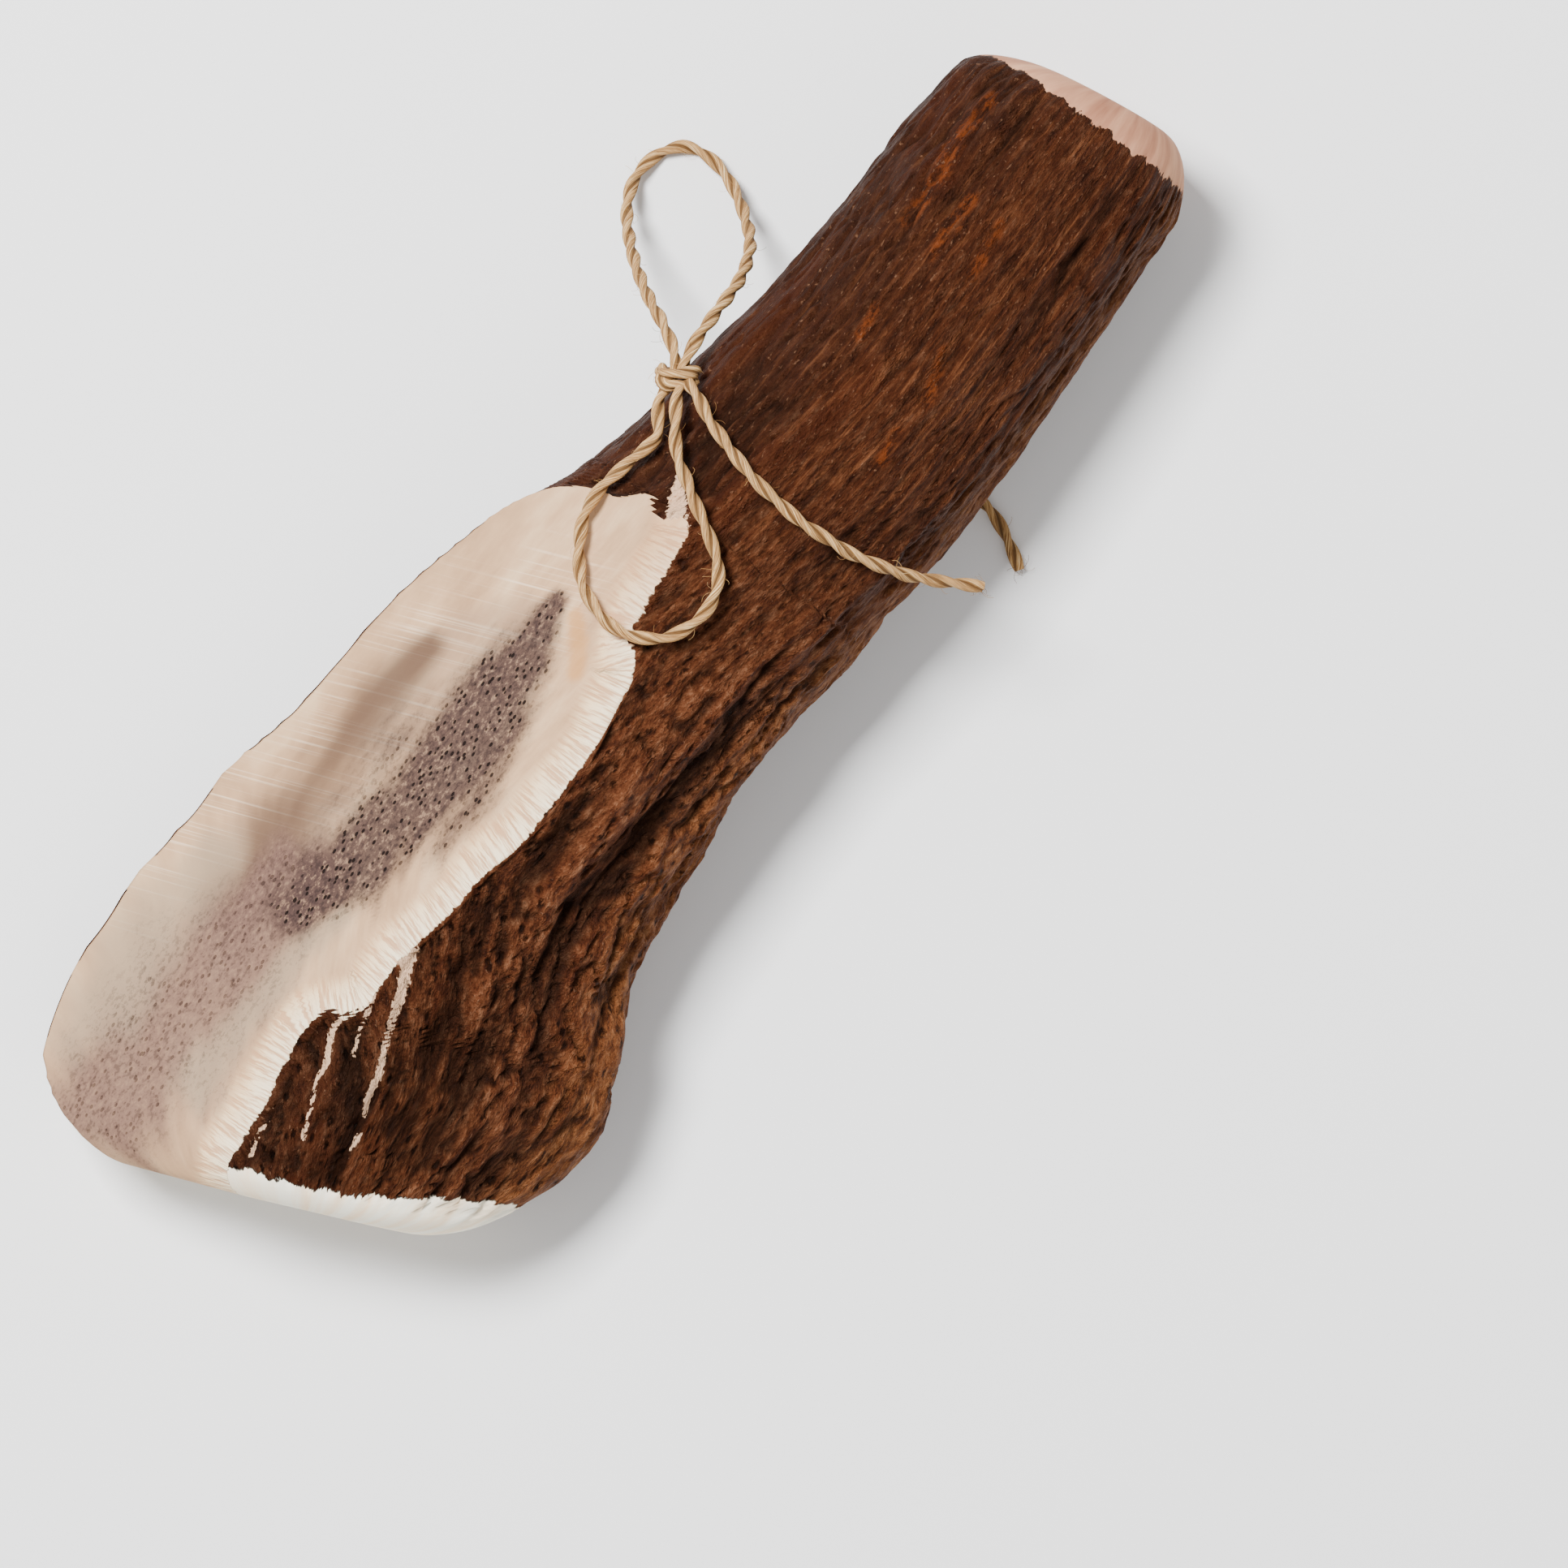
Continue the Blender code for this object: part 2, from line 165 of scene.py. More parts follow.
class Nodes:
    """A node tree; a node that is given as a source stands for its first output."""

    def __init__(self, tree):
        self.tree = tree

    def node(self, kind, inputs, **values):
        """A node with its own values set and its inputs fed."""
        made = self.tree.nodes.new(kind)
        for key, value in values.items():
            setattr(made, key, value)
        for key, source in inputs.items():
            self.feed(made.inputs[key], source)
        return made

    def feed(self, socket, source):
        """Gives a socket a plain value, or joins another socket or a node to it."""
        if isinstance(source, bpy.types.Node):
            source = source.outputs[0]
        if isinstance(source, bpy.types.NodeSocket):
            self.tree.links.new(source, socket)
        else:
            socket.default_value = source

    def sums(self, operation, first, second=0.0, third=0.0):
        """One sum on plain numbers, sockets or nodes."""
        return self.node("ShaderNodeMath", {0: first, 1: second, 2: third}, operation=operation)

    def times(self, first, second):
        """One number, socket or node times another."""
        return self.sums("MULTIPLY", first, second)


class Shading(Nodes):
    """One material's node tree, with short words for the nodes that it needs."""

    # Places of a Mix node's sockets for colours
    FIRST_COLOUR, SECOND_COLOUR, MIXED_COLOUR = 6, 7, 2

    def __init__(self, name):
        self.material = bpy.data.materials.new(name)
        self.material.use_nodes = True
        super().__init__(self.material.node_tree)
        self.shader = self.tree.nodes["Principled BSDF"]

    def attribute(self, name, output="Fac"):
        """What the mesh stores under a name."""
        return self.node("ShaderNodeAttribute", {}, attribute_name=name).outputs[output]

    def stretched(self, vector, scale, shift=(0.0, 0.0, 0.0)):
        """A vector scaled on each axis, then shifted."""
        return self.node("ShaderNodeMapping", {"Vector": vector, "Scale": scale, "Location": shift})

    def noise(self, vector, scale, detail=2.0, roughness=0.5, shift=(0.0, 0.0, 0.0)):
        """Soft noise, at so many lumps per unit on each axis."""
        return self.node("ShaderNodeTexNoise",
                         {"Vector": self.stretched(vector, scale, shift), "Scale": 1.0,
                          "Detail": detail, "Roughness": roughness})

    def cells(self, vector, scale):
        """Distance from the middle of the nearest cell."""
        return self.node("ShaderNodeTexVoronoi",
                         {"Vector": self.stretched(vector, scale), "Scale": 1.0})

    def between(self, value, low, high):
        """Eases from 0 at low to 1 at high."""
        return self.node("ShaderNodeMapRange", {"Value": value, "From Min": low, "From Max": high},
                         interpolation_type="SMOOTHSTEP")

    def bands(self, value, stops):
        """A run of screen colours over a value from 0 to 1."""
        made = self.node("ShaderNodeValToRGB", {"Fac": value})
        band = made.color_ramp
        while len(band.elements) < len(stops):
            band.elements.new(1.0)
        for element, (place, colour) in zip(band.elements, stops):
            element.position = place
            element.color = (*linear(colour), 1.0)
        return made

    def blend(self, factor, first, second):
        """Two colours mixed by a factor; a plain colour is given as on a screen."""
        first, second = [(*linear(source), 1.0) if isinstance(source, tuple) else source
                         for source in (first, second)]
        made = self.node("ShaderNodeMix", {"Factor": factor, self.FIRST_COLOUR: first,
                                           self.SECOND_COLOUR: second}, data_type="RGBA")
        return made.outputs[self.MIXED_COLOUR]

    def tinted(self, colour, tone, mask, strength):
        """A colour with a tone laid over it where a mask is, at a strength."""
        return self.blend(self.times(mask, strength), colour, tone)

    def bump(self, height, distance, strength=1.0):
        """Roughness of the surface; the height is in units of the distance, in metres."""
        return self.node("ShaderNodeBump",
                         {"Height": height, "Distance": distance, "Strength": strength})


def store(mesh, name, values):
    """Keeps one value or vector for each of a mesh's points."""
    vector = values.ndim == 2
    layer = mesh.attributes.new(name, "FLOAT_VECTOR" if vector else "FLOAT", "POINT")
    layer.data.foreach_set("vector" if vector else "value", values.astype(np.float32).ravel())


class Growing(Nodes):
    """A Geometry Nodes tree with named sizes, and short words for the nodes that it needs."""

    # Places of a Random Value node's sockets for numbers
    LEAST, MOST, RANDOM_NUMBER = 2, 3, 1

    def __init__(self, name, sizes):
        super().__init__(bpy.data.node_groups.new(name, "GeometryNodeTree"))
        for way in ("INPUT", "OUTPUT"):
            self.tree.interface.new_socket("Geometry", in_out=way, socket_type="NodeSocketGeometry")
        self.sizes = {size: self.tree.interface.new_socket(size, in_out="INPUT",
                                                           socket_type="NodeSocketFloat")
                      for size in sizes}
        self.given = self.node("NodeGroupInput", {})

    def size(self, name):
        """One of the tree's named sizes."""
        return self.given.outputs[name]

    def kept(self, geometry, name, value, kind="FLOAT"):
        """The geometry with a value stored on its points."""
        return self.node("GeometryNodeStoreNamedAttribute",
                         {"Geometry": geometry, "Name": name, "Value": value},
                         data_type=kind, domain="POINT")

    def finish(self, geometry, material):
        """Ends the tree with plain, painted geometry."""
        real = self.node("GeometryNodeRealizeInstances", {"Geometry": geometry})
        painted = self.node("GeometryNodeSetMaterial", {"Geometry": real, "Material": material})
        self.node("NodeGroupOutput", {"Geometry": painted})

    def grow(self, name, mesh, values):
        """The plain mesh object that the tree makes of a mesh."""
        holder = in_scene(name + "_route", mesh)
        modifier = holder.modifiers.new("grown", "NODES")
        modifier.node_group = self.tree
        for size, value in values.items():
            modifier[self.sizes[size].identifier] = value
        graph = bpy.context.evaluated_depsgraph_get()
        made = bpy.data.meshes.new_from_object(holder.evaluated_get(graph))
        holder.modifiers.remove(modifier)
        bpy.data.objects.remove(holder)
        made.name = name
        return in_scene(name, made)


def jute_material():
    """Dry plant fibre: pale strands drawn along the plies, with painted shade in the gaps between them.
    """
    made = Shading("jute")
    made.shader.inputs["Roughness"].default_value = 0.85
    made.shader.inputs["Specular IOR Level"].default_value = 0.2
    run = made.node("ShaderNodeCombineXYZ", {"X": made.attribute("run")})
    place = made.node("ShaderNodeVectorMath", {0: made.attribute("around", "Vector"), 1: run},
                      operation="ADD")
    strands = made.noise(place, (0.30, 5.5, 5.5), detail=3.0, roughness=0.8)
    fibre = made.bands(strands, ((0.32, (84, 54, 26)), (0.44, (156, 114, 68)),
                                 (0.55, (194, 152, 98)), (0.67, (234, 202, 152))))
    # Painted shade: darker where the surface dips between the two plies
    painted_ply_shade = made.between(made.attribute("hollow"), 0.18, 0.48)
    made.feed(made.shader.inputs["Base Color"],
              made.tinted(fibre, (86, 54, 24), painted_ply_shade, 0.85))
    made.feed(made.shader.inputs["Normal"], made.bump(strands, 0.2 * MM, 0.9))
    return made.material


def twine_tree(jute):
    """Two plies twisted along each line of a mesh, with loose hairs."""
    made = Growing("laid_twine", ("Radius", "Ply share", "Twist length", "Hairs per square metre",
                                  "Hair length", "Hair radius", "Frayed from"))
    run = made.node("GeometryNodeInputNamedAttribute", {"Name": "run"}, data_type="FLOAT")
    line = made.node("GeometryNodeMeshToCurve", {"Mesh": made.given})
    level = made.node("GeometryNodeSetCurveNormal", {"Curve": line})
    turn = made.times(made.sums("DIVIDE", run, made.size("Twist length")), 2.0 * math.pi)
    twisted = made.node("GeometryNodeSetCurveTilt", {"Curve": level, "Tilt": turn})

    # Outline across the twine: two round plies side by side
    ring = made.node("GeometryNodeCurvePrimitiveCircle", {"Resolution": TWINE_SIDES, "Radius": 1.0})
    place = made.node("GeometryNodeInputPosition", {})
    axes = made.node("ShaderNodeSeparateXYZ", {"Vector": place}).outputs
    ply = made.size("Ply share")
    offset = made.sums("SUBTRACT", 1.0, ply)
    aside = made.times(offset, axes["Y"])
    room = made.sums("SUBTRACT", made.times(ply, ply),
                     made.times(aside, aside))
    towards = made.times(offset, made.sums("ABSOLUTE", axes["X"]))
    reach = made.sums("ADD", towards, made.sums("SQRT", room))
    flat = made.node("ShaderNodeCombineXYZ", {"Y": axes["X"], "Z": axes["Y"]})
    outline = made.kept(ring, "around", flat, "FLOAT_VECTOR")
    # How deep each point lies between the plies, which the material darkens as painted shade
    outline = made.kept(outline, "hollow", made.sums("SUBTRACT", 1.0, reach))
    scale = made.times(reach, made.size("Radius"))
    scaled = made.node("ShaderNodeVectorMath", {0: place, "Scale": scale}, operation="SCALE")
    outline = made.node("GeometryNodeSetPosition", {"Geometry": outline, "Position": scaled})
    tube = made.node("GeometryNodeCurveToMesh",
                     {"Curve": twisted, "Profile Curve": outline, "Fill Caps": True})

    # Hairs: bowed three-sided threads that stand on the plies, thicker set at a cut end
    length = made.size("Hair length")
    root, middle, tip = [
        made.node("ShaderNodeCombineXYZ", {"X": made.times(length, along),
                                           "Z": made.times(length, rise)})
        for along, rise in HAIR_BOW]
    bow = made.node("GeometryNodeCurveQuadraticBezier",
                    {"Resolution": HAIR_STEPS, "Start": root, "Middle": middle, "End": tip})
    thin = made.node("GeometryNodeCurvePrimitiveCircle",
                     {"Resolution": HAIR_SIDES, "Radius": made.size("Hair radius")})
    hair = made.node("GeometryNodeCurveToMesh",
                     {"Curve": bow, "Profile Curve": thin, "Fill Caps": True})
    frayed = made.sums("GREATER_THAN", run, made.size("Frayed from"))
    often = made.times(made.size("Hairs per square metre"),
                      made.sums("ADD", 1.0, made.times(frayed, FRAY_TIMES)))
    roots = made.node("GeometryNodeDistributePointsOnFaces",
                      {"Mesh": tube, "Density": often, "Seed": ROOT_SEED},
                      distribute_method="RANDOM")
    sizes = made.node("FunctionNodeRandomValue",
                      {made.LEAST: HAIR_SIZES[0], made.MOST: HAIR_SIZES[1], "Seed": SIZE_SEED},
                      data_type="FLOAT")
    hairs = made.node("GeometryNodeInstanceOnPoints",
                      {"Points": roots, "Instance": hair, "Rotation": roots.outputs["Rotation"],
                       "Scale": sizes.outputs[made.RANDOM_NUMBER]})
    turns = made.node("FunctionNodeRandomValue",
                      {"Min": (0.0, 0.0, 0.0), "Max": (0.0, 0.0, 2.0 * math.pi),
                       "Seed": TURN_SEED}, data_type="FLOAT_VECTOR")
    hairs = made.node("GeometryNodeRotateInstances", {"Instances": hairs, "Rotation": turns})
    real = made.node("GeometryNodeRealizeInstances", {"Geometry": hairs})
    both = made.node("GeometryNodeJoinGeometry", {})
    for source in (tube, real):
        made.feed(both.inputs["Geometry"], source)

    # Nothing goes under the table
    place = made.node("GeometryNodeInputPosition", {})
    axes = made.node("ShaderNodeSeparateXYZ", {"Vector": place}).outputs
    high = made.sums("MAXIMUM", axes["Z"], TABLE_GAP * MM)
    above = made.node("ShaderNodeCombineXYZ", {"X": axes["X"], "Y": axes["Y"], "Z": high})
    lifted = made.node("GeometryNodeSetPosition", {"Geometry": both, "Position": above})
    made.finish(made.node("GeometryNodeSetShadeSmooth", {"Geometry": lifted}), jute)
    return made


def laid_twine(name, routes, frayed_from=FRAY_NOWHERE):
    """Twine along some routes, as one object."""
    mesh = bpy.data.meshes.new(name + "_route")
    edges = []
    runs = []
    for route in routes:
        first = len(runs)
        edges += [(first + index, first + index + 1) for index in range(len(route) - 1)]
        runs += [index * TWINE_STEP for index in range(len(route))]
    mesh.from_pydata((np.concatenate(routes) * MM).tolist(), edges, [])
    store(mesh, "run", np.array(runs))
    piece = twine.grow(name, mesh, {
        "Radius": TWINE_RADIUS * MM, "Ply share": PLY_SHARE, "Twist length": TWIST_LENGTH,
        "Hairs per square metre": HAIRS_PER_SQUARE_CM * 1e4, "Hair length": HAIR_LENGTH * MM,
        "Hair radius": HAIR_RADIUS * MM, "Frayed from": frayed_from})
    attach(piece, "root")
    return piece


def in_picture(offsets):
    """Offsets right, up and high in the camera's picture, turned into the shared frame."""
    right, up, high = np.array(offsets).T
    return np.column_stack((math.cos(BEAM_TURN) * right + math.sin(BEAM_TURN) * up,
                            math.cos(BEAM_TURN) * up - math.sin(BEAM_TURN) * right, high))


twine = twine_tree(jute_material())
for name, points, far_end, lay in (("twine_top_loop", TOP_LOOP, "knot", "loose"),
                                   ("twine_lower_loop", LOWER_LOOP, "knot", "loose"),
                                   ("twine_tail", TAIL, "bare", "loose"),
                                   ("twine_under_strand", UNDER_STRAND, "bare", "taut")):
    route = smooth_route(points, TWINE_STEP)
    cut = len(route) * TWINE_STEP - FRAY_LENGTH if far_end == "bare" else FRAY_NOWHERE
    piece = laid_twine("laid_" + name, [route], cut)
    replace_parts(piece, name)

turns = np.linspace(-TIGHT_WRAP_ENDS, TIGHT_WRAP_ENDS, TIGHT_WRAP_POINTS)
tight_wrap = np.column_stack((TIGHT_WRAP_REACH * np.sin(turns),
                              TIGHT_WRAP_UP + TIGHT_WRAP_LEAN * np.sin(turns),
                              TIGHT_WRAP_HEIGHT * np.cos(turns)))
wraps = [smooth_route(np.array(KNOT_MIDDLE) + in_picture(wrap), TWINE_STEP)
         for wrap in (tight_wrap, LOCKING_WRAP)]
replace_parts(laid_twine("twine_knot_wraps", wraps), "twine_knot")


# Antler
# One grown length of deer's beam: a hard pale cortex under furrowed brown bark, round a porous
# core. It was sawn across at both ends, ground round there, and split flat over its lower part.

# Sections of the whole beam before it was split, from the butt to the upper end, in millimetres:
# right side x and y, left side x and y, height of the widest line, of the crown, of the underside
BEAM_SECTIONS = (
    (-72.9, -26.6, -91.4, 18.4, 17.0, 29.0, 0.8),
    (-66.0, -29.5, -87.8, 25.5, 16.0, 28.4, 0.2),
    (-60.0, -31.8, -85.0, 29.8, 15.0, 28.0, 0.0),
    (-51.9, -32.8, -79.6, 32.2, 14.0, 28.4, 0.0),
    (-44.4, -30.4, -71.1, 33.6, 13.5, 30.0, 0.0),
    (-37.4, -26.8, -60.1, 33.2, 14.0, 32.6, 0.2),
    (-29.1, -23.8, -47.1, 31.5, 14.5, 35.0, 0.6),
    (-19.6, -22.6, -34.1, 29.5, 15.0, 36.6, 1.2),
    (-9.6, -22.0, -20.1, 27.3, 16.0, 36.8, 2.0),
    (0.0, -22.4, -6.1, 25.3, 17.0, 35.8, 2.8),
    (9.9, -23.2, 7.9, 21.0, 18.0, 34.8, 3.5),
    (20.9, -23.8, 20.9, 16.2, 18.0, 34.8, 4.0),
    (30.9, -24.7, 32.9, 14.2, 18.0, 35.0, 4.2),
    (41.9, -25.2, 44.9, 12.4, 18.0, 35.0, 4.0),
    (52.9, -25.0, 55.9, 11.4, 17.5, 34.5, 1.8),
    (63.9, -24.8, 66.4, 11.0, 16.8, 33.6, 0.0),
    (72.9, -24.4, 74.9, 10.4, 16.2, 32.6, -1.0),
    (80.5, -24.0, 81.5, 9.6, 16.0, 32.0, -1.3),
    (89.8, -22.2, 85.8, 7.0, 16.0, 31.0, -0.9),
)
CROWN_FULLNESS = 2.1
UNDERSIDE_FULLNESS = 2.5

# A section is seen from a point a little right of its middle and below its widest line
EYE_SHARE_RIGHT, EYE_DROP = 0.2, 4.0
LEAST_FACING, OUT_OF_REACH = 0.02, 1000.0

# Split plane and ground edges
SPLIT_HEIGHT = 34.9
SPLIT_SLOPE_X = 0.06
SPLIT_SLOPE_Y = -0.65
BUTT_GRIND_RADIUS = 6.5
TIP_GRIND_RADIUS = 7.0

# Bark's large relief, as the solid has it: long flutes, lumps, the hollow beside the knot, and
# the underside that is worn level where it rests
FLUTE_DEPTH = 1.9
FLUTE_LENGTH = 55.0
FLUTES_ACROSS_RADIUS = 4.2
LUMP_DEPTH = 1.3
LUMP_LENGTH = 11.0
LUMPS_ACROSS_RADIUS = 3.0
LUMP_SHIFT = 20.0
SMOOTH_BARK_SHARE = 0.4
SMOOTH_FROM, SMOOTH_TO = 60.0, 120.0
HOLLOW_PLACE, HOLLOW_LENGTH = 99.0, 8.0
HOLLOW_ANGLE, HOLLOW_SPREAD = math.radians(35.0), math.radians(17.0)
HOLLOW_DEPTH = 2.6
WORN_BELOW, WHOLE_ABOVE = 1.4, 2.6

# How finely the visible surface is meshed
STATIONS = 316
CAP_STATIONS = 14
BARK_SIDES = 206
SPLIT_SIDES = 84
END_RINGS = 7

# The split's edges are eased over so many rings, and past its end the window opens again
WINDOW_EASED_OVER, EDGE_EASED_OVER = 11, 15
CLOSED_HALF, REOPENED_GAIN = 0.1, 0.4
REOPENS_OVER = 25.0
EDGE_STEP = 0.1

# Bark's small relief, in millimetres: nominal radius of the beam, then depth, length along the
# beam and width of ridges, lumps and creases, and where each one reads the noise
BEAM_RADIUS = 24.0
RIDGE_DEPTH, RIDGE_LENGTH, RIDGE_WIDTH = 1.1, 22.0, 2.4
SMALL_LUMP_DEPTH, SMALL_LUMP_LENGTH, SMALL_LUMP_WIDTH = 0.5, 2.2, 1.5
CREASE_DEPTH, CREASE_LENGTH, CREASE_WIDTH = 0.8, 9.0, 2.1
SMALL_LUMP_SHIFT, CREASE_SHIFT = 40.0, 80.0
CREASE_LIMIT = 0.15
RIDGE_CREST, SMALL_LUMP_CREST = 0.5, 0.4
UPPER_CALM, FLANK_CALM = 0.4, 0.3
FLANK_FROM, FLANK_TO = 0.75, 0.97
MARGIN_CALM_FROM, MARGIN_CALM_TO = 0.6, 1.6
VALLEY_SHARE = 0.5
VEER_PER_MM, VEER_LENGTH = 0.018, 48.0

# What the material reads: the ground margins, the ribbed rim, the saw's direction, the core
BUTT_MARGIN, TIP_MARGIN = 3.2, 3.6
BUTT_MARGIN_GAIN, TIP_MARGIN_GAIN = 3.6, 0.4
RIM_FADES_FROM, RIM_FADES_TO = 3.8, 6.4
WHITE_RIM_FADES_FROM, WHITE_RIM_END = 82.0, 112.0
SAW_AXES = ((0.36, -0.93, 0.0), (0.93, 0.36, 0.0), (0.0, 0.0, 1.0))
CORE_DEPTH_FROM, CORE_DEPTH_TO = 3.6, 5.4
RIND_WAVER, RIM_WAVER, CORE_WAVER = 0.6, 1.2, 1.5
LEAST_CUT, DEEP_IN_BARK = 0.02, -20.0
NOISE_DRAWN_OUT, NOISE_APART = 0.3, 30.0
NOISE_FALL, NOISE_FINER, NOISE_LAYERS = 0.8, 2.0, 4


def smoothstep(low, high, value):
    """Eases from 0 at low to 1 at high, for a number or an array; low may be the larger."""
    share = np.clip((value - low) / (high - low), 0.0, 1.0)
    return share * share * (3.0 - 2.0 * share)


def section_distances():
    """How far along the beam each given section's middle is."""
    rows = np.array(BEAM_SECTIONS)
    middles = (rows[:, 0:2] + rows[:, 2:4]) / 2.0
    steps = np.linalg.norm(np.diff(middles, axis=0), axis=1)
    return np.concatenate(([0.0], np.cumsum(steps)))


def grind_inset(distance, radius):
    """How far a ground edge draws in, at a distance from its end face."""
    if distance >= radius:
        return 0.0
    return radius - math.sqrt(radius ** 2 - (radius - distance) ** 2)


def station_distances(length):
    """Where the rings stand: close together on the ground edges, and evenly between them."""
    turns = np.linspace(0.0, 0.5 * math.pi, CAP_STATIONS, endpoint=False)
    butt = BUTT_GRIND_RADIUS * (1.0 - np.cos(turns))
    tip = length - TIP_GRIND_RADIUS * (1.0 - np.cos(turns))
    middle = np.linspace(BUTT_GRIND_RADIUS, length - TIP_GRIND_RADIUS, STATIONS - 2 * CAP_STATIONS)
    return np.concatenate((butt, middle, tip[::-1]))


def bark_relief(distance, angle):
    """Height of the bark's flutes and lumps over the plain section, in millimetres."""
    rough = 1.0 - (1.0 - SMOOTH_BARK_SHARE) * smoothstep(SMOOTH_FROM, SMOOTH_TO, distance)
    away = ((distance - HOLLOW_PLACE) / HOLLOW_LENGTH, (angle - HOLLOW_ANGLE) / HOLLOW_SPREAD)
    hollow = HOLLOW_DEPTH * math.exp(-0.5 * (away[0] ** 2 + away[1] ** 2))
    around, up = math.cos(angle), math.sin(angle)
    flute = noise.noise(Vector((distance / FLUTE_LENGTH, around * FLUTES_ACROSS_RADIUS,
                                up * FLUTES_ACROSS_RADIUS)))
    lump = noise.noise(Vector((distance / LUMP_LENGTH, around * LUMPS_ACROSS_RADIUS,
                               up * LUMPS_ACROSS_RADIUS + LUMP_SHIFT)))
    return rough * (FLUTE_DEPTH * flute + LUMP_DEPTH * lump) - hollow


def grain_place(distance, angle):
    """Where a point of the bark stands in its grain, which veers off the beam at the butt."""
    veer = VEER_PER_MM * max(VEER_LENGTH - distance, 0.0)
    free = np.clip((math.pi - angle) / (0.5 * math.pi), 0.0, 1.0)
    turn = angle - veer * free
    return distance, BEAM_RADIUS * math.cos(turn), BEAM_RADIUS * math.sin(turn)


def fine_relief(distance, angle, length):
    """Depth of the bark's small ridges, lumps and creases; it only ever carves inwards."""
    upper = smoothstep(SMOOTH_FROM, SMOOTH_TO, distance)
    flank = smoothstep(FLANK_FROM, FLANK_TO, abs(math.cos(angle)))
    rough = (1.0 - UPPER_CALM * upper) * (1.0 - FLANK_CALM * flank)
    along, around, up = grain_place(distance, angle)
    ridge = noise.noise(Vector((along / RIDGE_LENGTH, around / RIDGE_WIDTH, up / RIDGE_WIDTH)))
    lump = noise.noise(Vector((along / SMALL_LUMP_LENGTH, around / SMALL_LUMP_WIDTH,
                               up / SMALL_LUMP_WIDTH + SMALL_LUMP_SHIFT)))
    crease = abs(noise.noise(Vector((along / CREASE_LENGTH, around / CREASE_WIDTH,
                                     up / CREASE_WIDTH + CREASE_SHIFT))))
    crease = max(0.0, 1.0 - crease / CREASE_LIMIT)
    ends = smoothstep(MARGIN_CALM_FROM, MARGIN_CALM_TO, distance / BUTT_MARGIN)
    ends *= smoothstep(MARGIN_CALM_FROM, MARGIN_CALM_TO, (length - distance) / TIP_MARGIN)
    depth = (RIDGE_DEPTH * (ridge - RIDGE_CREST) + SMALL_LUMP_DEPTH * (lump - SMALL_LUMP_CREST)
             - CREASE_DEPTH * crease)
    return min(ends * rough * depth, 0.0)


